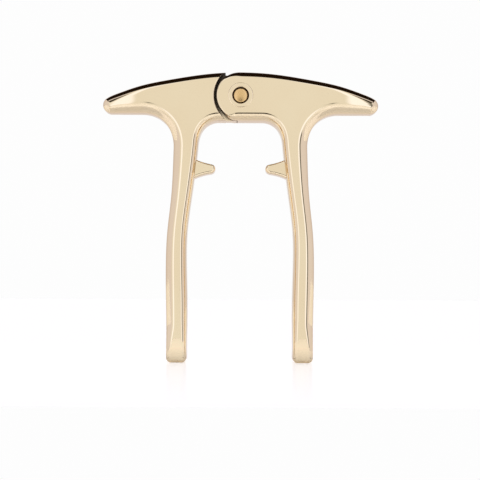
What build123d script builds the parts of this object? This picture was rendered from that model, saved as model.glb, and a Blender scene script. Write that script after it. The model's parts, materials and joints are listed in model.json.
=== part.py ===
from build123d import *
import os
from math import asin, cos, degrees, radians, sin, tan, tau

# A sprung mouthpiece clip for a saxophone: two cast levers cross-hinged on one pin.
# Millimetres.  +Z is up, the hinge axis lies along Y, and the origin is on the
# surface that the clip stands on, midway between its two feet.

# Levers
lever_thickness = 10.0      # along Y, at the hinge and the legs
tip_thickness = 6.6         # along Y, at the very end of a wing
taper_start = 21.5          # X where a wing starts to get thinner
taper_end = 32.8
edge_radius = 1.5           # rounding all round a lever's front and back faces

# Hinge
hinge_height = 62.5
ear_radius = 5.7
recess_radius = 7.2         # hollow in the left lever that the ears turn in
recess_offset = 0.95        # how far right of the hinge axis that hollow is centred
slot_width = 4.8            # between the two ears
tongue_thickness = 4.1
tongue_radius = 4.6         # over the stretch that passes the stop
shoulder_radius = 5.0       # over the rest of the tongue
slot_radius = 4.72
slot_deep_radius = 5.12
shoulder_start = 60         # degrees round the hinge axis, from +X towards +Z
shoulder_end = 262          # where the shoulder meets the stop in the slot
stop_angle = 262.6
slot_deep_start = 15
web_top = 5.0               # the tongue's web, measured up and down from the hinge axis
web_bottom = -5.7
web_top_end = -2.4          # X where the web's top and bottom edges stop short of the ears' middle
web_bottom_end = -0.9
slot_mouth = 2.0            # how far right of the axis the slot is open at the top
collar_radius = 2.8
collar_height = 0.12

# Pin, screw, bush and washers
shank_radius = 1.5
running_clearance = 0.03
head_radius = 1.75
counterbore_radius = 1.95
counterbore_depth = 1.2
head_rim = 0.65             # straight part of a head, under its dome
dome_height = 0.4
screw_radius = 0.8
screw_clearance = 0.02
screw_length = 3.6
screw_slot_width = 0.5
screw_slot_depth = 0.35
bush_radius = 2.2
washer_radius = 2.5
washer_thickness = 0.25

# Spring and the pocket round the bush that it lies in
wire_diameter = 0.5
coil_radius = 3.25
coil_pitch = 0.56
coil_turns = 3.5
chords_per_turn = 12
sleeve_radius = 2.65        # wall left standing between the bush and the pocket
pocket_radius = 3.9
pocket_floor = -0.3         # Y of the bottom of the pocket, which is open at the rear
leg_hole_radius = 0.32
leg_length = 1.3
leg_radius = 0.26           # a leg is a touch thicker than the wire, where it is bent over
coil_start = 0.0            # Y of the wire's centre line where the coil begins
tongue_leg_angle = 0.0      # round the hinge axis, from +X towards +Z
ear_leg_angle = -tau * coil_turns

# Teeth that hold the reed's edges
tooth_thickness = 5.2
tooth_edge = 0.35

wide = lever_thickness / 2
pin_end = wide - counterbore_depth - 0.15

# Right lever's outline, as (X, Z).  The left lever is its mirror image.
blank_end = -9.0            # the outline runs past the hinge, and is trimmed there
top_height = hinge_height + ear_radius
bridge_height = hinge_height - ear_radius
wing_under = 58.57
top_curve = [(0, top_height), (8, 67.75), (16, 66.52), (24, 64.8), (29, 63.15), (31.7, 61.92)]
tip_slope = 36              # degrees below level, where the top curve meets the wing's round tip
shoulder_curve = [(23.3, wing_under), (20.2, 57.95), (17.2, 55.55), (15.75, 50.3)]
outer_curve = [(15.75, 50.3), (16.3, 38.2), (17.1, 30.6), (17.4, 23), (17.2, 9), (17.15, 2.3)]
inner_curve = [(12.4, 2.3), (12.3, 11), (12.5, 22), (12.4, 30.6), (11.5, 38.2), (9.9, 51.3)]
armpit_curve = [(9.9, 51.3), (8.5, 55.3), (5.2, bridge_height)]
foot_radius = 1.6
tooth_outline = [(12, 48.5), (6.2, 46.5), (6.1, 44.6), (12, 43.1)]
tooth_tip_radius = 0.7


def upright(face, thickness, middle=0.0):
    """A face drawn as (X, Z), given a thickness along Y about its middle."""
    return Pos(0, middle, 0) * extrude(Plane.XZ * face, amount=thickness / 2, both=True)


def along_y(radius, start, end):
    """A cylinder on the hinge axis from one Y to another."""
    place = Pos(0, (start + end) / 2, hinge_height) * Rot(90, 0, 0)
    return place * Cylinder(radius, end - start)


def block(x, y, z):
    """A box given by its (lowest, highest) X, Y and Z."""
    size = [high - low for low, high in (x, y, z)]
    middle = [(high + low) / 2 for low, high in (x, y, z)]
    return Pos(*middle) * Box(*size)


def curve(points, start=None, end=None):
    """A smooth curve through the points, with a direction at either end."""
    return Spline(*points, tangents=[start, end])


def lever_face():
    """The right lever's outline, filled in and run past the hinge to the left."""
    tip_start = top_curve[-1]
    slope = radians(tip_slope)
    tip_radius = (tip_start[1] - wing_under) / (1 + cos(slope))
    tip_heading = (cos(slope), -sin(slope))
    tip = JernArc(tip_start, tip_heading, tip_radius, tip_slope - 180)
    outer_foot = (outer_curve[-1][0], foot_radius)
    inner_foot = (inner_curve[0][0], foot_radius)
    flat_outer = (outer_foot[0] - foot_radius, 0)
    flat_inner = (inner_foot[0] + foot_radius, 0)
    lean = (0.03, -1)
    edges = [
        Line((blank_end, top_height), top_curve[0]),
        curve(top_curve, (1, 0), tip_heading),
        tip,
        Line(tip @ 1, shoulder_curve[0]),
        curve(shoulder_curve, (-1, 0), lean),
        curve(outer_curve, lean, (0, -1)),
        Line(outer_curve[-1], outer_foot),
        RadiusArc(outer_foot, flat_outer, foot_radius),
        Line(flat_outer, flat_inner),
        RadiusArc(flat_inner, inner_foot, foot_radius),
        Line(inner_foot, inner_curve[0]),
        curve(inner_curve, (0, 1), (-0.09, 1)),
        curve(armpit_curve, (-0.09, 1), (-1, 0)),
        Line(armpit_curve[-1], (blank_end, bridge_height)),
        Line((blank_end, bridge_height), (blank_end, top_height)),
    ]
    return make_face(edges)


def taper_solid():
    """Everything between the lever's front and back faces, which draw in along the wing."""
    half = lever_thickness / 2
    tip_half = tip_thickness / 2
    run = taper_end - taper_start
    radius = (run**2 + (half - tip_half) ** 2) / (2 * (half - tip_half))
    sweep = degrees(asin(run / radius))
    front = JernArc((taper_start, -half), (1, 0), radius, sweep)
    back = mirror(front, about=Plane.XZ)
    plan = make_face(
        [
            Line((blank_end, -half), (taper_start, -half)),
            front,
            Line(front @ 1, back @ 1),
            back,
            Line((taper_start, half), (blank_end, half)),
            Line((blank_end, half), (blank_end, -half)),
        ]
    )
    return extrude(plan, amount=2 * top_height)


def lever_blank():
    """A whole right lever with rounded edges, before its tooth and its hinge."""
    blank = upright(lever_face(), lever_thickness) & taper_solid()
    rim = [
        edge
        for edge in blank.edges()
        if abs((edge @ 0.5).Y) > tip_thickness / 4
        and abs((edge @ 0.5).X - taper_start) > 0.01
        and (edge @ 0.5).X > blank_end + 0.01
        and not on_one_side(edge)
    ]
    return fillet(rim, edge_radius)


def on_one_side(edge):
    """Whether an edge runs across the thickness rather than round a face."""
    return (edge @ 0).Y * (edge @ 1).Y < 0


def ears():
    """The round end of the right lever, square below where it meets the left lever."""
    low = hinge_height - ear_radius
    corner = Polyline((-3.3, low + 1.1), (-2.7, low), (0, low), (0, low + 1.1), close=True)
    return along_y(ear_radius, -wide, wide) + upright(make_face(corner), lever_thickness)


def part_disc(radius, start, end, half):
    """A disc on the hinge axis, kept from one angle round to another."""
    disc = along_y(radius, -half, half)
    reach = 3 * radius
    edge = [radians(end + (start + 360 - end) * share) for share in (0, 0.5, 1)]
    corners = [(0, hinge_height)]
    corners += [(reach * cos(angle), hinge_height + reach * sin(angle)) for angle in edge]
    return disc - upright(make_face(Polyline(*corners, close=True)), 3 * half)


def slot():
    """The space between the ears, open to the left and at the top, with a stop at the bottom."""
    half = slot_width / 2
    deep = part_disc(slot_deep_radius, slot_deep_start, stop_angle, half)
    stop_x = ear_radius * cos(radians(stop_angle))
    side = block((blank_end, stop_x), (-half, half), (0, top_height + 1))
    mouth = block((-1, slot_mouth), (-half, half), (hinge_height, top_height + 1))
    return along_y(slot_radius, -half, half) + deep + side + mouth


def tongue():
    """The round end that fills the slot, and the web that joins it to the left lever."""
    half = tongue_thickness / 2
    outline = Polyline(
        (-8, hinge_height + web_top),
        (web_top_end, hinge_height + web_top),
        (0, hinge_height),
        (web_bottom_end, hinge_height + web_bottom),
        (-8, hinge_height + web_bottom),
        close=True,
    )
    web = upright(make_face(outline), tongue_thickness)
    shoulder = part_disc(shoulder_radius, shoulder_start, shoulder_end, half)
    return along_y(tongue_radius, -half, half) + shoulder + web


def pin_bores():
    """Every hole on the hinge axis through the ears."""
    bore = along_y(shank_radius + running_clearance, -wide, wide)
    seat = wide - counterbore_depth
    face = wide + collar_height
    return bore + along_y(counterbore_radius, -face, -seat) + along_y(counterbore_radius, seat, face)


def spring_leg(angle, start, end, radius):
    """A straight piece along Y where a leg of the spring lies, or the hole for it."""
    place = Pos(coil_radius * cos(angle), 0, coil_radius * sin(angle))
    return place * along_y(radius, start, end)


def tooth():
    """The small spur on the inner side of a leg."""
    face = fillet(
        make_face(Polyline(*tooth_outline, close=True)).vertices().sort_by(Axis.X)[:2],
        tooth_tip_radius,
    )
    spur = upright(face, tooth_thickness)
    rim = [edge for edge in spur.edges() if not on_one_side(edge) and (edge @ 0.5).X < 11.9]
    return fillet(rim, tooth_edge)


def right_lever():
    """The lever with the two ears."""
    side = block((0, 40), (-wide, wide), (-1, top_height + 1))
    body = (lever_blank() & (side + ears())) - slot()
    body += along_y(collar_radius, -wide - collar_height, -wide + 0.5)
    body += along_y(collar_radius, wide - 0.5, wide + collar_height)
    body -= pin_bores()
    leg_start = slot_width / 2 - 0.1
    leg_end = slot_width / 2 + leg_length + 0.1
    body -= spring_leg(ear_leg_angle, leg_start, leg_end, leg_hole_radius)
    return body + tooth()


def left_lever():
    """The lever with the hollow and the tongue."""
    half = tongue_thickness / 2
    blank = mirror(lever_blank(), about=Plane.YZ)
    hollow = Pos(recess_offset, 0, 0) * along_y(recess_radius, -wide, wide)
    beyond = block((recess_offset, 12), (-wide, wide), (hinge_height - 8, top_height + 1))
    body = (blank - hollow - beyond) + tongue()
    body -= along_y(bush_radius, -half, half)
    body -= along_y(pocket_radius, pocket_floor, half) - along_y(sleeve_radius, pocket_floor, half)
    body -= spring_leg(tongue_leg_angle, pocket_floor - leg_length, pocket_floor, leg_hole_radius)
    return body + mirror(tooth(), about=Plane.YZ)


def domed_head():
    """The low domed head that the pin and the screw share, facing -Y, on the hinge axis."""
    seat = -wide + counterbore_depth
    rim = seat - head_rim
    dome_radius = (head_radius**2 + dome_height**2) / (2 * dome_height)
    dome_middle = rim - dome_height + dome_radius
    ball = Pos(0, dome_middle, hinge_height) * Sphere(dome_radius)
    return along_y(head_radius, rim - dome_height - 0.1, seat) & (ball + along_y(head_radius, rim, seat))


def hinge_pin():
    """Domed head, plain shank, and a tapped hole for the screw in its rear end."""
    shank = along_y(shank_radius, -wide + counterbore_depth, pin_end)
    return domed_head() + shank - along_y(screw_radius + screw_clearance, pin_end - screw_length, pin_end)


def pin_screw():
    """The rear screw: the same head with a driver slot, on a thin shank."""
    head = mirror(domed_head(), about=Plane.XZ)
    top = wide - counterbore_depth + head_rim + dome_height
    cut = block(
        (-3, 3),
        (top - screw_slot_depth, wide),
        (hinge_height - screw_slot_width / 2, hinge_height + screw_slot_width / 2),
    )
    tip = pin_end - screw_length + 0.3
    return head - cut + along_y(screw_radius, tip, wide - counterbore_depth)


def tongue_bush():
    """The bearing pressed into the tongue."""
    half = tongue_thickness / 2
    bore = along_y(shank_radius + running_clearance, -half, half)
    return along_y(bush_radius, -half, half) - bore


def washer(side):
    """A thin washer between the tongue and an ear, in front (-1) or behind (1)."""
    middle = side * (tongue_thickness + slot_width) / 4
    near, far = middle - washer_thickness / 2, middle + washer_thickness / 2
    return along_y(washer_radius, near, far) - along_y(shank_radius + running_clearance, near, far)


def coil_path():
    """The wire's centre line round +Z: straight chords of a helix, joined by tangent arcs."""
    step = tau / chords_per_turn
    run = 2 * coil_radius * sin(step / 2)
    corners = [
        (coil_radius * cos(i * step), coil_radius * sin(i * step), coil_pitch * i / chords_per_turn)
        for i in range(int(coil_turns * chords_per_turn) + 1)
    ]
    return FilletPolyline(*corners, radius=0.45 * run / tan(step / 2))


def torsion_spring():
    """A coil round the bush, with one leg in the tongue and one in the rear ear."""
    wire = wire_diameter / 2
    path = coil_path()
    coil = sweep(Plane(origin=path @ 0, z_dir=path % 0) * Circle(wire), path=path)
    coil = Pos(0, coil_start, hinge_height) * Rot(-90, 0, 0) * coil
    coil_end = coil_start + coil_pitch * coil_turns
    first_start = pocket_floor - leg_length + 0.1
    first = spring_leg(tongue_leg_angle, first_start, coil_start + wire, leg_radius)
    last_end = slot_width / 2 + leg_length
    last = spring_leg(ear_leg_angle, coil_end - wire, last_end, leg_radius)
    return coil + first + last


sub_parts = {
    "right_lever": right_lever(),
    "left_lever": left_lever(),
    "hinge_pin": hinge_pin(),
    "pin_screw": pin_screw(),
    "tongue_bush": tongue_bush(),
    "front_washer": washer(-1),
    "rear_washer": washer(1),
    "torsion_spring": torsion_spring(),
}

os.makedirs("parts", exist_ok=True)
for name, solid in sub_parts.items():
    export_step(solid, f"parts/{name}.step")
    print(name, round(solid.volume, 2), solid.is_valid, len(solid.solids()))
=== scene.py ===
import json
from math import cos, hypot, pi, radians, sin, tau

import bmesh
import bpy
import numpy as np
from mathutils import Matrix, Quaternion, Vector
from mathutils.geometry import delaunay_2d_cdt

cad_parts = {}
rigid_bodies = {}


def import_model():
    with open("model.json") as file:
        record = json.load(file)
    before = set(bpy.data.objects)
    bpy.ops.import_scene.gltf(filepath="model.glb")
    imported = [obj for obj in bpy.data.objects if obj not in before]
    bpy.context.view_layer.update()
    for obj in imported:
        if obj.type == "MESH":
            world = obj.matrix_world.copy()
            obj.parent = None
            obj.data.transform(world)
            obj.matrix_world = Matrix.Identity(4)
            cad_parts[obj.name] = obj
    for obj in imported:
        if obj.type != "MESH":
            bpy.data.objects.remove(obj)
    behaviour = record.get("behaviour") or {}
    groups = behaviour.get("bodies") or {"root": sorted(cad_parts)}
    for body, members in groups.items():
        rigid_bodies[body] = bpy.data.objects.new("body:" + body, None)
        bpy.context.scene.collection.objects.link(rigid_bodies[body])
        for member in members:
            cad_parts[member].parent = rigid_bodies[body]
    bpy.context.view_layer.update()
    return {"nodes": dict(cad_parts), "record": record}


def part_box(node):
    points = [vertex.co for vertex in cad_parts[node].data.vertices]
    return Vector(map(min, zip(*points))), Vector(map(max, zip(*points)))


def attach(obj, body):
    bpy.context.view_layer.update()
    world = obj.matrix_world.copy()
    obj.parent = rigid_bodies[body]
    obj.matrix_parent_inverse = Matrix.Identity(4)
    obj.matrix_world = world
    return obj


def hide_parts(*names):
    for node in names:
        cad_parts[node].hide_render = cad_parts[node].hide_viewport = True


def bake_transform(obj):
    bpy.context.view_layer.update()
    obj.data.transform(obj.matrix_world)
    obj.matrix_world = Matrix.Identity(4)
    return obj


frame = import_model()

# A sprung saxophone mouthpiece clip.  Shapes are worked out in millimetres, as (X, Z) in the
# clip's own upright plane and Y through its thickness, and become metres as each mesh is made.

MM = 0.001
joint = frame["record"]["behaviour"]["joints"][0]
fixed_body, swung_body = joint["parent"], joint["child"]
hinge = joint["pos_m"][2] / MM
half_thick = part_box("left_lever")[1][1] / MM

# ---------------------------------------------------------------- driving dimensions, mm

# Outlines
ear_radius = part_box("right_lever")[1][2] / MM - hinge
recess_radius = 7.2         # hollow in the left lever that the ears turn in
recess_offset = 0.95        # how far that hollow's centre is right of the hinge axis
top_height = hinge + ear_radius
bridge_height = hinge - ear_radius
wing_under = 58.57
top_curve = [(0, top_height), (8, 67.75), (16, 66.52), (24, 64.8), (29, 63.15), (31.7, 61.92)]
tip_slope = radians(36)
shoulder_curve = [(23.3, wing_under), (20.2, 57.95), (17.2, 55.55), (15.75, 50.3)]
outer_curve = [(15.75, 50.3), (16.3, 38.2), (17.1, 30.6), (17.4, 23), (17.2, 9), (17.15, 2.3)]
inner_curve = [(12.4, 2.3), (12.3, 11), (12.5, 22), (12.4, 30.6), (11.5, 38.2), (9.9, 51.3)]
armpit_curve = [(9.9, 51.3), (8.5, 55.3), (5.2, bridge_height)]
outer_lean = (0.03, -1)     # headings of the leg's two sides at its top
inner_lean = (-0.09, 1)
foot_radius = 1.15
ear_foot_angle = radians(236)   # round the hinge axis, where the ears run into the bridge
crisp_start = radians(132)      # the ears' rims are crisp where they face the hollow
crisp_end = radians(150)

# How far the rounded edges run in over the face
top_round = 2.0
wing_round = 1.85
tip_round = 1.7
leg_round = 2.45
bridge_round = 1.7
inner_round = 1.5
foot_round = 1.0
foot_blend = 10.0           # height where a leg's rounding starts to ease into its foot's
ear_round = 0.4             # under the ears
rim_round = 0.6             # at each end of the crisp stretch
rim_top_round = 0.8
crisp_round = 0.28          # edges machined for the hinge
tooth_round = 0.6

# Thickness
taper_start = 21.5
taper_end = 32.8
tip_thin = 1.7              # how much thinner each half of a wing gets by its tip
toe_height = 5.5
toe_thin = 0.3              # how much thinner each half of a leg gets right at its foot
tooth_half = 2.6

# Slot between the ears, and the tongue in it
slot_half = 2.4
slot_radius = 4.72
slot_deep_radius = 5.12
slot_deep_start = 15        # degrees round the hinge axis, from +X towards +Z
stop_angle = 262.6
slot_mouth = 2.0            # how far right of the axis the slot is open at the top
tongue_half = 2.05
tongue_radius = 4.6
shoulder_radius = 5.0
shoulder_start = 60
shoulder_end = 262
web_start = -8.0            # X inside the lever's metal
web_top = 5.0
web_bottom = -5.7
web_top_end = -2.4
web_bottom_end = -0.9

# Collars, counterbores, pin and screw
collar_radius = 2.95
collar_height = 0.1
collar_edge = 0.25
collar_root = 0.6           # how deep a collar is set into the lever
counterbore_radius = 1.95
counterbore_depth = 1.2
counterbore_mouth = 0.14    # softly broken edge
bore_radius = 1.53
shank_radius = 1.5
head_radius = 1.75
head_rim = 0.65
head_edge = 0.3
dome_height = 0.4
chamfer = 0.2               # at the inner end of the pin and of the screw
pin_end = half_thick - counterbore_depth - 0.15
pin_hole_radius = 0.82      # hole for the screw
drill_point = 0.4           # cone at the bottom of that hole
screw_radius = 0.8
screw_length = 3.6
screw_gap = 0.3             # from the screw's end to the bottom of its hole
screw_slot_width = 0.5
screw_slot_depth = 0.35

# Bush, spring and the pocket for it
bush_radius = 2.2
sleeve_radius = 2.65
pocket_radius = 3.9
pocket_floor = -0.3
leg_hole_radius = 0.32
leg_length = 1.3
coil_radius = 3.25
coil_pitch = 0.56
coil_turns = 3.5
wire_radius = 0.25
wire_bend = 0.3             # radius of the bend into each leg
front_leg_gap = 0.1         # from a leg's end to the bottom of its hole
back_leg_gap = 0.05

spare = 1.0                 # how far a cutter runs on past the metal
skin = 0.1                  # how far one runs on where it opens into another hollow

# Painted shade, in the gaps, counterbores and at the bottoms of the feet
sole_shade_height = 4.0
sole_shade_most = 0.42
painted_shade_colour = (0.022, 0.012, 0.005)

# Studio, metres
floor_side = 3.0
floor_front = -0.14
floor_far = 4.0
shine_reach = 0.135         # distance from the clip at which the floor's shine has faded out
camera_distance = 0.350
camera_height = 0.016
target_height = 0.0288
picture_width = 0.1133      # width of the picture at the clip
camera_roll = radians(0.27)


# ---------------------------------------------------------------- curves


def spline(points, start, end, step=0.25):
    """Evenly spread points on a smooth curve through a few points, with a heading at each end."""
    p = np.array(points, float)
    gap = np.linalg.norm(np.diff(p, axis=0), axis=1)
    count = len(p)
    system = np.eye(count)
    right = np.zeros_like(p)
    right[0] = np.array(start) / hypot(*start)
    right[-1] = np.array(end) / hypot(*end)
    for i in range(1, count - 1):
        before, after = 1 / gap[i - 1], 1 / gap[i]
        system[i, i - 1 : i + 2] = before, 2 * (before + after), after
        right[i] = 3 * ((p[i] - p[i - 1]) * before**2 + (p[i + 1] - p[i]) * after**2)
    slope = np.linalg.solve(system, right)
    made = []
    for i in range(count - 1):
        t = np.linspace(0, 1, max(2, round(gap[i] / step) + 1))[:-1, None]
        made.append(
            (1 + 2 * t) * (1 - t) ** 2 * p[i]
            + t * (1 - t) ** 2 * gap[i] * slope[i]
            + t**2 * (3 - 2 * t) * p[i + 1]
            + t**2 * (t - 1) * gap[i] * slope[i + 1]
        )
    return np.vstack(made + [p[-1:]])


def straight(a, b, count=0):
    """Points on a straight line, as many as asked or a quarter of a millimetre apart."""
    count = count or max(2, round(hypot(b[0] - a[0], b[1] - a[1]) / 0.25) + 1)
    t = np.linspace(0, 1, count)[:, None]
    return np.array(a, float) * (1 - t) + np.array(b, float) * t


def arc(centre, radius, start, end, count=0):
    """Points on an arc, from one angle to another."""
    count = count or max(3, round(abs(end - start) * radius / 0.15) + 1)
    angle = np.linspace(start, end, count)
    return np.stack([centre[0] + radius * np.cos(angle), centre[1] + radius * np.sin(angle)], axis=1)


def joined(stretches):
    """One closed outline, and its rounding, from (points, first rounding, last rounding)."""
    points, rounding = [], []
    for line, first, last in stretches:
        points.append(line[:-1])
        rounding.append(np.linspace(first, last, len(line))[:-1])
    return np.vstack(points), np.concatenate(rounding)


def parted(line, height):
    """A stretch of a leg's side as two, above and below a height."""
    above = line[:, 1] > height
    if above[0]:
        last = above.sum()
        return line[:last], line[last - 1 :]
    first = (~above).sum()
    return line[: first + 1], line[first:]


def smoothed(values, passes):
    """Values round a closed outline, evened out with their neighbours."""
    for _ in range(passes):
        values = (np.roll(values, 1, axis=0) + 2 * values + np.roll(values, -1, axis=0)) / 4
    return values


def inward(points, passes):
    """The direction in from a clockwise outline at each point, softened round its corners."""
    along = np.roll(points, -1, axis=0) - np.roll(points, 1, axis=0)
    along /= np.linalg.norm(along, axis=1)[:, None]
    side = smoothed(np.stack([along[:, 1], -along[:, 0]], axis=1), passes)
    return side / np.linalg.norm(side, axis=1)[:, None]


# ---------------------------------------------------------------- outlines


def lever_limb():
    """The stretches both levers share: top, wing, leg and armpit."""
    tip_start = top_curve[-1]
    tip_radius = (tip_start[1] - wing_under) / (1 + cos(tip_slope))
    tip_centre = (
        tip_start[0] - tip_radius * sin(tip_slope),
        tip_start[1] - tip_radius * cos(tip_slope),
    )
    outer, inner = outer_curve[-1], inner_curve[0]
    outer_leg, outer_foot = parted(spline(outer_curve, outer_lean, (0, -1)), foot_blend)
    inner_foot, inner_leg = parted(spline(inner_curve, (0, 1), inner_lean), foot_blend)
    corner = foot_radius
    return [
        (spline(top_curve, (1, 0), (cos(tip_slope), -sin(tip_slope))), top_round, wing_round),
        (arc(tip_centre, tip_radius, pi / 2 - tip_slope, -pi / 2), tip_round, tip_round),
        (straight((tip_centre[0], wing_under), shoulder_curve[0]), wing_round, leg_round),
        (spline(shoulder_curve, (-1, 0), outer_lean), leg_round, leg_round),
        (outer_leg, leg_round, leg_round),
        (outer_foot, leg_round, foot_round),
        (straight(outer, (outer[0], corner), 4), foot_round, foot_round),
        (arc((outer[0] - corner, corner), corner, 0, -pi / 2, 15), foot_round, foot_round),
        (straight((outer[0] - corner, 0), (inner[0] + corner, 0), 9), foot_round, foot_round),
        (arc((inner[0] + corner, corner), corner, -pi / 2, -pi, 15), foot_round, foot_round),
        (straight((inner[0], corner), inner, 4), foot_round, foot_round),
        (inner_foot, foot_round, inner_round),
        (inner_leg, inner_round, inner_round),
        (spline(armpit_curve, inner_lean, (-1, 0)), inner_round, bridge_round),
    ]


def right_outline():
    """The right lever from the front, with the round ears on its left."""
    bridge_end = (-1.3, bridge_height)
    ear_foot = (ear_radius * cos(ear_foot_angle), hinge + ear_radius * sin(ear_foot_angle))
    centre = (0, hinge)
    ends = [
        (straight(armpit_curve[-1], bridge_end), bridge_round, bridge_round),
        (spline([bridge_end, ear_foot], (-1, 0), (-0.45, 1), 0.15), bridge_round, rim_round),
        (arc(centre, ear_radius, ear_foot_angle, crisp_end), ear_round, crisp_round),
        (arc(centre, ear_radius, crisp_end, crisp_start), crisp_round, rim_round),
        (arc(centre, ear_radius, crisp_start, pi / 2), rim_top_round, top_round),
    ]
    return joined(lever_limb() + ends)


def left_outline():
    """The left lever drawn as a right one, run on to the hinge for the ears' hollow to be cut."""
    ends = [
        (straight(armpit_curve[-1], (0, bridge_height)), bridge_round, bridge_round),
        (straight((0, bridge_height), (0, top_height)), crisp_round, crisp_round),
    ]
    return joined(lever_limb() + ends)


# ---------------------------------------------------------------- solids as vertices and faces


def half_depth(x, z):
    """How far the lever's front and back faces stand from its middle plane."""
    beyond = np.clip(np.abs(x) - taper_start, 0, None) / (taper_end - taper_start)
    below = np.clip(1 - z / toe_height, 0, 1)
    return half_thick - tip_thin * beyond**2 - toe_thin * below**2


def inside(points, loop):
    """Which points lie inside a closed loop."""
    x, z = points[:, 0:1], points[:, 1:2]
    x1, z1 = loop[:, 0], loop[:, 1]
    x2, z2 = np.roll(x1, -1), np.roll(z1, -1)
    spans = (z1 > z) != (z2 > z)
    with np.errstate(divide="ignore", invalid="ignore"):
        crossing = x1 + (z - z1) * (x2 - x1) / (z2 - z1)
    return (np.where(spans, x < crossing, False).sum(axis=1) % 2) == 1


def face_fill(loop, spacing):
    """Extra points in a staggered grid over a loop, to carry its curvature, and triangles."""
    low, high = loop.min(axis=0), loop.max(axis=0)
    grid = np.array(
        [
            (x + (row % 2) * spacing / 2, z)
            for row, z in enumerate(np.arange(low[1], high[1], spacing * 0.87))
            for x in np.arange(low[0], high[0], spacing)
        ]
    )
    grid = grid[inside(grid, loop)]
    apart = np.linalg.norm(grid[:, None] - loop[None], axis=2).min(axis=1)
    grid = grid[apart > spacing * 0.55]
    points = [Vector(p) for p in np.vstack([loop, grid])]
    ring = [list(range(len(loop)))]
    _, _, faces, origins, _, _ = delaunay_2d_cdt(points, [], ring, 1, 1e-7)
    named = [origin[0] for origin in origins]
    return grid, [[named[i] for i in face] for face in faces]


def room(points, heading):
    """The largest circle inside an outline that touches it at each point."""
    apart = points[None] - points[:, None]
    toward = np.einsum("ijk,ik->ij", apart, heading)
    square = (apart**2).sum(axis=2)
    with np.errstate(divide="ignore", invalid="ignore"):
        radius = np.where(toward > 1e-6, square / (2 * toward), np.inf)
    return radius.min(axis=1)


def level_ring(plan, y):
    """Points in space over an outline, in front of the middle plane by y."""
    return np.hstack([plan[:, 0:1], -y, plan[:, 1:2]])


def cast_solid(outline, depth, spacing=1.1, crown=0.06, deeper=1.15):
    """A solid rounded all round its two faces, its rounding never past the middle of the metal."""
    points, wanted = outline
    heading = inward(points, 3)
    space = room(points, heading)
    rounding = np.minimum(smoothed(wanted, 8), 0.88 * space)
    rounding = np.minimum(rounding, smoothed(rounding, 6))
    border = np.minimum(0.12, 0.3 * (space - rounding))
    rounding, border = rounding[:, None], border[:, None]
    travel = heading * rounding
    # A narrow flat border round each face keeps its shading even up to the rounded edge.
    plan = points + travel + heading * border
    front = [level_ring(plan, depth(plan[:, 0:1], plan[:, 1:2]))]
    rows = [(1 - cos(angle), 1 - sin(angle), 1.0) for angle in np.linspace(pi / 2, 0, 11)]
    rows += [(0.0, 1.0, share) for share in (0.55, 0.0)]
    for across, down, share in rows:
        plan = points + travel * across
        full = depth(plan[:, 0:1], plan[:, 1:2])
        y = (full - deeper * rounding * down) * share
        plan = plan + travel * crown * (1 - across) * (y / full) ** 2
        front.append(level_ring(plan, y))
    back = [row * (1, -1, 1) for row in front[-2::-1]]
    rings = front + back
    count = len(points)
    verts = [tuple(p) for ring in rings for p in ring]
    faces = []
    for r in range(len(rings) - 1):
        for i in range(count):
            j = (i + 1) % count
            faces.append((r * count + i, (r + 1) * count + i, (r + 1) * count + j, r * count + j))
    for r, side in ((0, -1), (len(rings) - 1, 1)):
        loop = rings[r][:, [0, 2]]
        grid, triangles = face_fill(loop, spacing)
        start = len(verts)
        y = side * depth(grid[:, 0], grid[:, 1])
        verts += [(x, level, z) for (x, z), level in zip(grid, y)]
        for triangle in triangles:
            faces.append([r * count + i if i < count else start + i - count for i in triangle])
    return verts, faces


def lathe(profile, steps=128, turn=0.0):
    """A closed (radius, Y) profile turned round the hinge axis."""
    verts, faces = [], []
    count = len(profile)
    for s in range(steps):
        angle = tau * s / steps + turn
        verts += [(r * cos(angle), y, hinge + r * sin(angle)) for r, y in profile]
    for s in range(steps):
        n = (s + 1) % steps
        for i in range(count):
            j = (i + 1) % count
            faces.append((s * count + i, s * count + j, n * count + j, n * count + i))
    return verts, faces


def box_solid(x, y, z):
    """A box given by its (lowest, highest) X, Y and Z."""
    verts = [(x[i], y[j], z[k]) for i in (0, 1) for j in (0, 1) for k in (0, 1)]
    faces = [(0, 1, 3, 2), (4, 6, 7, 5), (0, 4, 5, 1), (2, 3, 7, 6), (0, 2, 6, 4), (1, 5, 7, 3)]
    return verts, faces


def prism(loop, low, high):
    """An upright outline carried straight through from one Y to another."""
    count = len(loop)
    verts = [(x, low, z) for x, z in loop] + [(x, high, z) for x, z in loop]
    faces = [(i, (i + 1) % count, (i + 1) % count + count, i + count) for i in range(count)]
    faces += [list(range(count))[::-1], list(range(count, 2 * count))]
    return verts, faces


# ---------------------------------------------------------------- objects


def make_object(name, solid, mirrored=False):
    """A Blender object from millimetre vertices, its faces all turned outward."""
    verts, faces = solid
    flip = -1 if mirrored else 1
    mesh = bpy.data.meshes.new(name)
    mesh.from_pydata([(flip * x * MM, y * MM, z * MM) for x, y, z in verts], [], faces)
    shape = bmesh.new()
    shape.from_mesh(mesh)
    bmesh.ops.remove_doubles(shape, verts=shape.verts, dist=1e-7)
    bmesh.ops.recalc_face_normals(shape, faces=shape.faces)
    shape.to_mesh(mesh)
    shape.free()
    piece = bpy.data.objects.new(name, mesh)
    bpy.context.scene.collection.objects.link(piece)
    return piece


def apply_modifiers(piece):
    """Makes the piece's modifiers part of its mesh."""
    graph = bpy.context.evaluated_depsgraph_get()
    mesh = bpy.data.meshes.new_from_object(piece.evaluated_get(graph))
    piece.modifiers.clear()
    piece.data = mesh


def combine(piece, solid, operation, mirrored=False):
    """Adds or cuts away one solid."""
    tool = make_object("tool", solid, mirrored)
    step = piece.modifiers.new("combine", "BOOLEAN")
    step.operation = operation
    step.solver = "EXACT"
    step.object = tool
    apply_modifiers(piece)
    bpy.data.objects.remove(tool)
    return piece


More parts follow.
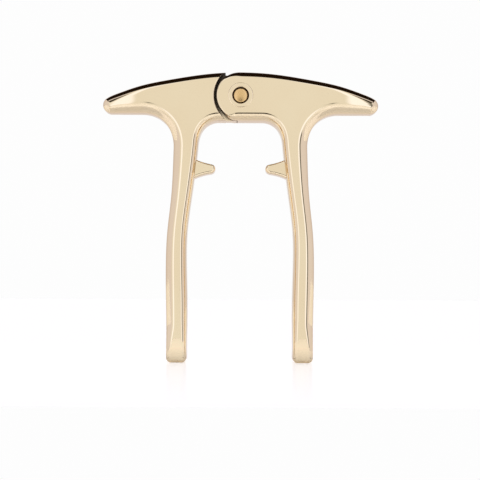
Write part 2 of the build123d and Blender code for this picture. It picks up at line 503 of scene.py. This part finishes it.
def shade(piece, angle=32):
    """Smooth shading, kept crisp at edges sharper than the angle."""
    mesh = piece.data
    shape = bmesh.new()
    shape.from_mesh(mesh)
    for face in shape.faces:
        face.smooth = True
    for edge in shape.edges:
        edge.smooth = not edge.is_manifold or edge.calc_face_angle(0) < radians(angle)
    shape.to_mesh(mesh)
    shape.free()
    weighted = piece.modifiers.new("weighted", "WEIGHTED_NORMAL")
    weighted.keep_sharp = True
    weighted.weight = 60
    apply_modifiers(piece)


def finish_piece(piece, material, body, node):
    """Gives the piece its material and body, and hides the CAD node it stands for."""
    piece.data.materials.clear()
    piece.data.materials.append(material)
    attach(piece, body)
    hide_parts(node)


# ---------------------------------------------------------------- the clip's pieces


def broken_edge(radius, mouth, face, outward):
    """The (radius, Y) points of a hole's softly broken mouth, in from its wall to the face."""
    angles = np.linspace(0, pi / 2, 6)
    return [(radius + mouth * (1 - cos(a)), face - outward * mouth * (1 - sin(a))) for a in angles]


def flared_bore(radius, mouth, seat, face):
    """A cutter for a round blind hole with a softly broken mouth."""
    outward = 1 if face > seat else -1
    rim = broken_edge(radius, mouth, face, outward)
    clear = face + outward * spare
    return lathe([(0, seat), (radius, seat)] + rim + [(radius + mouth, clear), (0, clear)])


def hollow():
    """A cutter for the hollow in the left lever that the ears turn in."""
    front = broken_edge(recess_radius, crisp_round, -half_thick, -1)
    back = broken_edge(recess_radius, crisp_round, half_thick, 1)
    rim = recess_radius + crisp_round
    clear = half_thick + spare
    profile = [(0, -clear), (rim, -clear)] + front[::-1] + back + [(rim, clear), (0, clear)]
    verts, faces = lathe(profile, 360)
    return [(x - recess_offset, y, z) for x, y, z in verts], faces


def part_disc(radius, start, end, low, high):
    """A disc on the hinge axis, kept from one angle in degrees round to another."""
    rim = arc((0, hinge), radius, radians(start), radians(end), 200)
    return prism(np.vstack([rim, [(0, hinge)]]), low, high)


def collar(side):
    """A low round-edged boss round the hinge, on the front (-1) or back (1) face."""
    root = side * (half_thick - collar_root)
    top = half_thick + collar_height
    rim = [
        (collar_radius - collar_edge * (1 - cos(a)), side * (top - collar_edge * 0.5 * (1 - sin(a))))
        for a in np.linspace(0, pi / 2, 7)
    ]
    return lathe([(0, root), (collar_radius, root)] + rim + [(0, side * top)])


def tooth():
    """The small spur on the inner side of a leg."""
    upper = spline([(6.8, 46.5), (9.4, 47.2), (12.2, 48.5)], (1, 0.2), (1, 0.55), 0.2)
    lower = spline([(12.2, 42.2), (11.0, 43.1), (9.4, 43.8), (7.0, 44.35)], (-1, 0.9), (-1, 0.15), 0.2)
    nose = spline([(7.0, 44.35), (6.0, 45.05), (6.05, 46.05), (6.8, 46.5)], (-1, 0.15), (1, 0.2), 0.1)
    back = straight((12.2, 48.5), (12.2, 42.2))
    outline = joined([(line, tooth_round, tooth_round) for line in (lower, nose, upper, back)])
    return cast_solid(outline, lambda x, z: np.full_like(x, tooth_half), 0.8, 0.02, 1.0)


def ring(radius, inner, low, high):
    """A plain ring on the hinge axis."""
    return lathe([(inner, low), (radius, low), (radius, high), (inner, high)])


def bore(radius, low, high):
    """A plain round cutter on the hinge axis."""
    return lathe([(0, low), (radius, low), (radius, high), (0, high)])


def leg_hole(side, low, high):
    """A cutter for the hole that one leg of the spring lies in, right (1) or left (-1) of the axis."""
    loop = arc((side * coil_radius, hinge), leg_hole_radius, 0, tau, 25)[:-1]
    return prism(loop, low, high)


def make_right_lever():
    """The lever with the two ears, cut out between them for the other lever's tongue."""
    lever = make_object("right_lever_cast", cast_solid(right_outline(), half_depth))
    slot = arc((0, hinge), slot_radius, 0, tau, 161)[:-1]
    deep = part_disc(slot_deep_radius, slot_deep_start, stop_angle, -slot_half, slot_half)
    stop_x = ear_radius * cos(radians(stop_angle))
    across = (-slot_half, slot_half)
    clear = top_height + spare
    combine(lever, prism(slot, -slot_half, slot_half), "DIFFERENCE")
    combine(lever, deep, "DIFFERENCE")
    combine(lever, box_solid((-9, stop_x), across, (0, clear)), "DIFFERENCE")
    combine(lever, box_solid((-1, slot_mouth), across, (hinge, clear)), "DIFFERENCE")
    for side in (-1, 1):
        combine(lever, collar(side), "UNION")
        seat, face = side * (half_thick - counterbore_depth), side * (half_thick + collar_height)
        combine(lever, flared_bore(counterbore_radius, counterbore_mouth, seat, face), "DIFFERENCE")
    combine(lever, bore(bore_radius, -half_thick - spare, half_thick + spare), "DIFFERENCE")
    combine(lever, leg_hole(-1, slot_half - skin, slot_half + leg_length), "DIFFERENCE")
    combine(lever, tooth(), "UNION")
    return lever


def make_left_lever():
    """The lever with the hollow, and the tongue that stands in it round the bush."""
    lever = make_object("left_lever_cast", cast_solid(left_outline(), half_depth), True)
    combine(lever, hollow(), "DIFFERENCE", True)
    web = [
        (web_start, hinge + web_top),
        (web_top_end, hinge + web_top),
        (0, hinge),
        (web_bottom_end, hinge + web_bottom),
        (web_start, hinge + web_bottom),
    ]
    shoulder = part_disc(shoulder_radius, shoulder_start, shoulder_end, -tongue_half, tongue_half)
    clear = tongue_half + spare
    combine(lever, prism(web, -tongue_half, tongue_half), "UNION")
    combine(lever, shoulder, "UNION")
    combine(lever, ring(tongue_radius, bush_radius, -tongue_half, tongue_half), "UNION")
    combine(lever, bore(bush_radius, -clear, clear), "DIFFERENCE")
    combine(lever, ring(pocket_radius, sleeve_radius, pocket_floor, clear), "DIFFERENCE")
    combine(lever, leg_hole(1, pocket_floor - leg_length, pocket_floor + skin), "DIFFERENCE")
    combine(lever, tooth(), "UNION", True)
    return lever


def domed(side, rim_start):
    """The (radius, Y) outline of a pin head's side and dome, from the axis out to its seat."""
    seat = half_thick - counterbore_depth
    crest = rim_start + dome_height
    across = np.linspace(0, head_radius - head_edge, 9)
    dome = [(r, crest - dome_height * 0.55 * (r / head_radius) ** 2) for r in across]
    fall = dome[-1][1]
    turn = np.linspace(radians(70), 0, 6)
    corner = [
        (head_radius - head_edge * (1 - cos(a)), fall - head_edge * (1 - sin(a)) - 0.02) for a in turn
    ]
    return [(r, side * y) for r, y in dome + corner + [(head_radius, seat)]]


def make_hinge_pin():
    """The pin with its domed head in front, drilled from behind for the screw."""
    seat = half_thick - counterbore_depth
    hole_end = pin_end - screw_length
    profile = domed(-1, seat + head_rim)
    profile += [
        (shank_radius, -seat),
        (shank_radius, pin_end - chamfer),
        (shank_radius - chamfer, pin_end),
        (pin_hole_radius, pin_end),
        (pin_hole_radius, hole_end),
        (0, hole_end - drill_point),
    ]
    return make_object("hinge_pin_turned", lathe(profile))


def make_pin_screw():
    """The screw behind, with a slot across its domed head."""
    seat = half_thick - counterbore_depth
    tip = pin_end - screw_length + screw_gap
    profile = domed(1, seat + head_rim)
    profile += [
        (screw_radius, seat),
        (screw_radius, tip + chamfer),
        (screw_radius - chamfer, tip),
        (0, tip),
    ]
    screw = make_object("pin_screw_turned", lathe(profile))
    bottom = seat + head_rim + dome_height - screw_slot_depth
    across = (hinge - screw_slot_width / 2, hinge + screw_slot_width / 2)
    return combine(screw, box_solid((-3, 3), (bottom, half_thick + spare), across), "DIFFERENCE")


def tube(path, radius, sides=14):
    """A round wire along a path of points, with its ends closed."""
    path = [Vector(p) for p in path]
    verts, faces = [], []
    across = Vector((1, 0, 0))
    for i, point in enumerate(path):
        along = (path[min(i + 1, len(path) - 1)] - path[max(i - 1, 0)]).normalized()
        across = (across - along * across.dot(along)).normalized()
        other = along.cross(across)
        for s in range(sides):
            angle = tau * s / sides
            verts.append(tuple(point + radius * (cos(angle) * across + sin(angle) * other)))
    for i in range(len(path) - 1):
        for s in range(sides):
            n = (s + 1) % sides
            a, b = i * sides, (i + 1) * sides
            faces.append((a + s, a + n, b + n, b + s))
    faces.append(tuple(range(sides))[::-1])
    faces.append(tuple(range(len(verts) - sides, len(verts))))
    return verts, faces


def make_spring():
    """Coils round the bush, with a leg bent over at each end to lie along the hinge axis."""
    bend_turn = wire_bend / coil_radius
    total = tau * coil_turns
    height = coil_pitch * coil_turns
    places = []
    for a in np.linspace(0, pi / 2, 7):
        places.append((bend_turn * (1 - cos(a)), wire_bend * (sin(a) - 1)))
    for t in np.linspace(0, 1, round(coil_turns * 60))[1:-1]:
        places.append((bend_turn + t * (total - 2 * bend_turn), height * t))
    for a in np.linspace(pi / 2, 0, 7):
        places.append((total - bend_turn * (1 - cos(a)), height + wire_bend * (1 - sin(a))))
    places.insert(0, (0, pocket_floor - leg_length + front_leg_gap))
    places.append((total, slot_half + leg_length - back_leg_gap))
    path = [(coil_radius * cos(-turn), y, hinge + coil_radius * sin(-turn)) for turn, y in places]
    return make_object("torsion_spring_wound", tube(path, wire_radius))


def paint_shade(piece, darkness):
    """Marks how much painted shade darkens each vertex, from its X, Y and Z in millimetres."""
    mesh = piece.data
    places = np.empty(len(mesh.vertices) * 3, np.float32)
    mesh.vertices.foreach_get("co", places)
    x, y, z = places.reshape(-1, 3).T / MM
    layer = mesh.attributes.new("painted_shade", "FLOAT", "POINT")
    layer.data.foreach_set("value", darkness(x, y, z).astype(np.float32))


def sole_shade(z):
    """Painted shade: most right under the feet, and less up to a few millimetres above them."""
    return sole_shade_most * np.clip(1 - z / sole_shade_height, 0, 1) ** 1.5


def ear_shade(x, y, z):
    """Painted shade in the counterbores, and on the side of the ears that faces the hollow."""
    off_axis = np.hypot(x, z - hinge)
    facing = (off_axis < ear_radius + 0.05) & (x < -3.6) & (np.abs(y) < half_thick - 0.18)
    sunk = (off_axis < counterbore_radius + 0.03) & (np.abs(y) < half_thick - 0.02)
    return np.maximum(facing | sunk, sole_shade(z))


def hollow_shade(x, y, z):
    """Painted shade inside the hollow in the left lever."""
    within = np.hypot(x - recess_offset, z - hinge) < recess_radius + 0.05
    inside_edges = (np.abs(y) < half_thick - 0.18) & (z > bridge_height + 0.2)
    return np.maximum(within & inside_edges, sole_shade(z))


right_lever = make_right_lever()
left_lever = make_left_lever()
hinge_pin = make_hinge_pin()
pin_screw = make_pin_screw()
spring = make_spring()
for piece in (right_lever, left_lever, hinge_pin, pin_screw, spring):
    shade(piece)
# Painted shade: the metal's colour is darkened on the faces of the ears, in the hollow, in the
# counterbores and at the bottoms of the feet.
paint_shade(right_lever, ear_shade)
paint_shade(left_lever, hollow_shade)


# ---------------------------------------------------------------- materials


def polished(name, colour, deep, roughness):
    """Polished metal: faint ripple from hand polishing, fine scratches, slight tone changes."""
    material = bpy.data.materials.new(name)
    material.use_nodes = True
    nodes, links = material.node_tree.nodes, material.node_tree.links
    shader = nodes["Principled BSDF"]
    shader.inputs["Specular Tint"].default_value = (0.74, 0.66, 0.6, 1)
    where = nodes.new("ShaderNodeTexCoord")

    def noise(scale, detail=4.0, stretch=(1, 1, 1)):
        mapping = nodes.new("ShaderNodeMapping")
        mapping.inputs["Scale"].default_value = stretch
        texture = nodes.new("ShaderNodeTexNoise")
        texture.inputs["Scale"].default_value = scale
        texture.inputs["Detail"].default_value = detail
        links.new(where.outputs["Object"], mapping.inputs["Vector"])
        links.new(mapping.outputs["Vector"], texture.inputs["Vector"])
        return texture

    def ramp(source, low, high, start, end):
        made = nodes.new("ShaderNodeMapRange")
        made.inputs["From Min"].default_value = low
        made.inputs["From Max"].default_value = high
        made.inputs["To Min"].default_value = start
        made.inputs["To Max"].default_value = end
        links.new(source, made.inputs["Value"])
        return made.outputs["Result"]

    def mix(share, first, second):
        made = nodes.new("ShaderNodeMixRGB")
        for socket, value in zip(made.inputs, (share, first, second)):
            if isinstance(value, tuple):
                socket.default_value = (*value, 1)
            else:
                links.new(value, socket)
        return made.outputs["Color"]

    tone = mix(ramp(noise(60).outputs["Fac"], 0.35, 0.75, 0.0, 1.0), colour, deep)
    # Painted shade: where the shade attribute is set, the colour goes to near black and the metal
    # turns less metallic and rougher, mottled by fine noise.
    painted_shade = nodes.new("ShaderNodeAttribute")
    painted_shade.attribute_name = "painted_shade"
    mottled = ramp(noise(900, 3).outputs["Fac"], 0.3, 0.7, 0.85, 1.0)
    shade_share = nodes.new("ShaderNodeMath")
    shade_share.operation = "MULTIPLY"
    links.new(painted_shade.outputs["Fac"], shade_share.inputs[0])
    links.new(mottled, shade_share.inputs[1])
    links.new(mix(shade_share.outputs["Value"], tone, painted_shade_colour), shader.inputs["Base Color"])
    links.new(ramp(shade_share.outputs["Value"], 0.0, 1.0, 1.0, 0.2), shader.inputs["Metallic"])
    scratch = noise(900, 2, (1, 0.12, 0.25)).outputs["Fac"]
    haze = ramp(noise(140, 5).outputs["Fac"], 0.3, 0.7, roughness * 0.7, roughness * 1.3)
    worn = nodes.new("ShaderNodeMath")
    worn.operation = "ADD"
    links.new(ramp(scratch, 0.55, 0.75, 0.0, 0.05), worn.inputs[0])
    links.new(mix(shade_share.outputs["Value"], haze, (0.6, 0.6, 0.6)), worn.inputs[1])
    links.new(worn.outputs["Value"], shader.inputs["Roughness"])
    fine = nodes.new("ShaderNodeBump")
    fine.inputs["Strength"].default_value = 0.012
    fine.inputs["Distance"].default_value = 0.00002
    links.new(scratch, fine.inputs["Height"])
    ripple = nodes.new("ShaderNodeBump")
    ripple.inputs["Strength"].default_value = 0.1
    ripple.inputs["Distance"].default_value = 0.0001
    links.new(noise(110, 1.5).outputs["Fac"], ripple.inputs["Height"])
    links.new(ripple.outputs["Normal"], fine.inputs["Normal"])
    links.new(fine.outputs["Normal"], shader.inputs["Normal"])
    return material


plate = polished("gold_plate", (0.90, 0.757, 0.527), (0.88, 0.72, 0.49), 0.06)
pin_plate = polished("pin_gold", (0.78, 0.53, 0.24), (0.74, 0.48, 0.21), 0.3)
bronze = polished("bronze", (0.58, 0.36, 0.17), (0.46, 0.27, 0.13), 0.35)
washer_brass = polished("washer_brass", (0.80, 0.62, 0.30), (0.72, 0.54, 0.25), 0.28)
spring_steel = polished("spring_steel", (0.55, 0.56, 0.58), (0.42, 0.43, 0.46), 0.22)
finish_piece(right_lever, plate, fixed_body, "right_lever")
finish_piece(left_lever, plate, swung_body, "left_lever")
finish_piece(hinge_pin, pin_plate, fixed_body, "hinge_pin")
finish_piece(pin_screw, pin_plate, fixed_body, "pin_screw")
spring.data.materials.append(spring_steel)
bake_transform(spring)
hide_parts("torsion_spring")
carried = {"tongue_bush": bronze, "front_washer": washer_brass, "rear_washer": washer_brass}
for node, material in carried.items():
    frame["nodes"][node].data.materials.clear()
    frame["nodes"][node].data.materials.append(material)


# ---------------------------------------------------------------- floor, light and camera


def make_floor():
    """A plain pale table top, faintly shiny round the clip and matt further off."""
    mesh = bpy.data.meshes.new("floor")
    corners = [
        (-floor_side, floor_front, 0),
        (floor_side, floor_front, 0),
        (floor_side, floor_far, 0),
        (-floor_side, floor_far, 0),
    ]
    mesh.from_pydata(corners, [], [(0, 1, 2, 3)])
    floor = bpy.data.objects.new("floor", mesh)
    bpy.context.scene.collection.objects.link(floor)
    material = bpy.data.materials.new("floor")
    material.use_nodes = True
    nodes, links = material.node_tree.nodes, material.node_tree.links
    where = nodes.new("ShaderNodeTexCoord")
    split = nodes.new("ShaderNodeSeparateXYZ")
    links.new(where.outputs["Object"], split.inputs["Vector"])
    apart = nodes.new("ShaderNodeMath")
    apart.operation = "ABSOLUTE"
    links.new(split.outputs["Y"], apart.inputs[0])

    def near(close, away):
        """One value beside the clip and another further off."""
        made = nodes.new("ShaderNodeMapRange")
        made.inputs["From Max"].default_value = shine_reach
        made.inputs["To Min"].default_value = close
        made.inputs["To Max"].default_value = away
        links.new(apart.outputs["Value"], made.inputs["Value"])
        return made.outputs["Result"]

    matt = nodes["Principled BSDF"]
    matt.inputs["Base Color"].default_value = (0.8, 0.8, 0.8, 1)
    matt.inputs["Specular IOR Level"].default_value = 0.0
    matt.inputs["Emission Color"].default_value = (1, 0.995, 0.99, 1)
    links.new(near(0.35, 0.67), matt.inputs["Emission Strength"])
    gloss = nodes.new("ShaderNodeBsdfGlossy")
    gloss.inputs["Roughness"].default_value = 0.17
    links.new(near(0.43, 0.0), gloss.inputs["Color"])
    layered = nodes.new("ShaderNodeAddShader")
    links.new(matt.outputs["BSDF"], layered.inputs[0])
    links.new(gloss.outputs["BSDF"], layered.inputs[1])
    links.new(layered.outputs["Shader"], nodes["Material Output"].inputs["Surface"])
    mesh.materials.append(material)


def make_world():
    """A white studio tent, darker overhead and low in front, with a bright card at each side."""
    world = bpy.data.worlds.new("studio")
    bpy.context.scene.world = world
    world.use_nodes = True
    nodes, links = world.node_tree.nodes, world.node_tree.links
    where = nodes.new("ShaderNodeTexCoord")
    split = nodes.new("ShaderNodeSeparateXYZ")
    links.new(where.outputs["Generated"], split.inputs["Vector"])
    x, y, z = split.outputs

    def math(operation, first, second=0.0):
        made = nodes.new("ShaderNodeMath")
        made.operation = operation
        for socket, value in zip(made.inputs, (first, second)):
            if isinstance(value, (int, float)):
                socket.default_value = value
            else:
                links.new(value, socket)
        return made.outputs["Value"]

    def step(value, start, end):
        """0 below start, 1 above end, smooth between."""
        made = nodes.new("ShaderNodeMapRange")
        made.interpolation_type = "SMOOTHSTEP"
        made.inputs["From Min"].default_value = start
        made.inputs["From Max"].default_value = end
        links.new(value, made.inputs["Value"])
        return made.outputs["Result"]

    def within(value, low, high, soft):
        """1 between low and high, 0 outside."""
        rise, fall = step(value, low - soft, low + soft), step(value, high - soft, high + soft)
        return math("SUBTRACT", rise, fall)

    def both(first, second):
        return math("MULTIPLY", first, second)

    def painted(under, mask, colour):
        """The studio so far, with one more panel put up in it."""
        made = nodes.new("ShaderNodeMixRGB")
        links.new(mask, made.inputs["Fac"])
        if isinstance(under, tuple):
            made.inputs["Color1"].default_value = (*under, 1)
        else:
            links.new(under, made.inputs["Color1"])
        made.inputs["Color2"].default_value = (*colour, 1)
        return made.outputs["Color"]

    # The angle round from straight in front of the clip, to the right and then to either side.
    turned = math("ARCTAN2", x, math("MULTIPLY", y, -1))
    aside = math("ABSOLUTE", turned)
    # Each panel is 1 where it hangs and 0 elsewhere, and a later one hides an earlier one.
    overhead_edge = math("ADD", math("MULTIPLY", y, -0.27), 0.735)
    overhead = step(math("SUBTRACT", z, overhead_edge), -0.03, 0.03)
    low_front = both(within(z, -0.42, -0.07, 0.02), within(aside, -1, radians(7), 0.03))
    card = both(within(aside, radians(15), radians(31), 0.05), within(z, -0.3, 0.85, 0.05))
    strip = both(within(turned, radians(31), radians(46), 0.04), within(z, -0.06, 0.3, 0.03))
    tip_flag = both(within(aside, radians(36), radians(60), 0.05), within(z, 0.3, 0.7, 0.03))
    tent = painted((0.9, 0.905, 0.9), step(aside, radians(40), radians(50)), (0.82, 0.79, 0.87))
    tent = painted(tent, card, (1.2, 1.25, 1.45))
    tent = painted(tent, strip, (0.17, 0.17, 0.16))
    tent = painted(tent, tip_flag, (0.06, 0.05, 0.04))
    tent = painted(tent, low_front, (0.03, 0.025, 0.02))
    tent = painted(tent, overhead, (0.012, 0.006, 0.003))
    tent = painted(tent, step(y, 0.9, 0.95), (0.985, 0.985, 0.985))
    links.new(tent, nodes["Background"].inputs["Color"])


def make_camera():
    """A long lens, level with the feet and looking slightly up."""
    camera = bpy.data.objects.new("camera", bpy.data.cameras.new("camera"))
    bpy.context.scene.collection.objects.link(camera)
    camera.location = (0, -camera_distance, camera_height)
    target = Vector((0, 0, target_height))
    camera.rotation_mode = "QUATERNION"
    aim = (target - camera.location).to_track_quat("-Z", "Y")
    camera.rotation_quaternion = aim @ Quaternion((0, 0, 1), camera_roll)
    camera.data.sensor_width = 36
    camera.data.lens = camera.data.sensor_width * camera_distance / picture_width
    camera.data.clip_start = 0.01
    bpy.context.scene.camera = camera


make_floor()
make_world()
make_camera()
bpy.context.scene.view_settings.view_transform = "Standard"
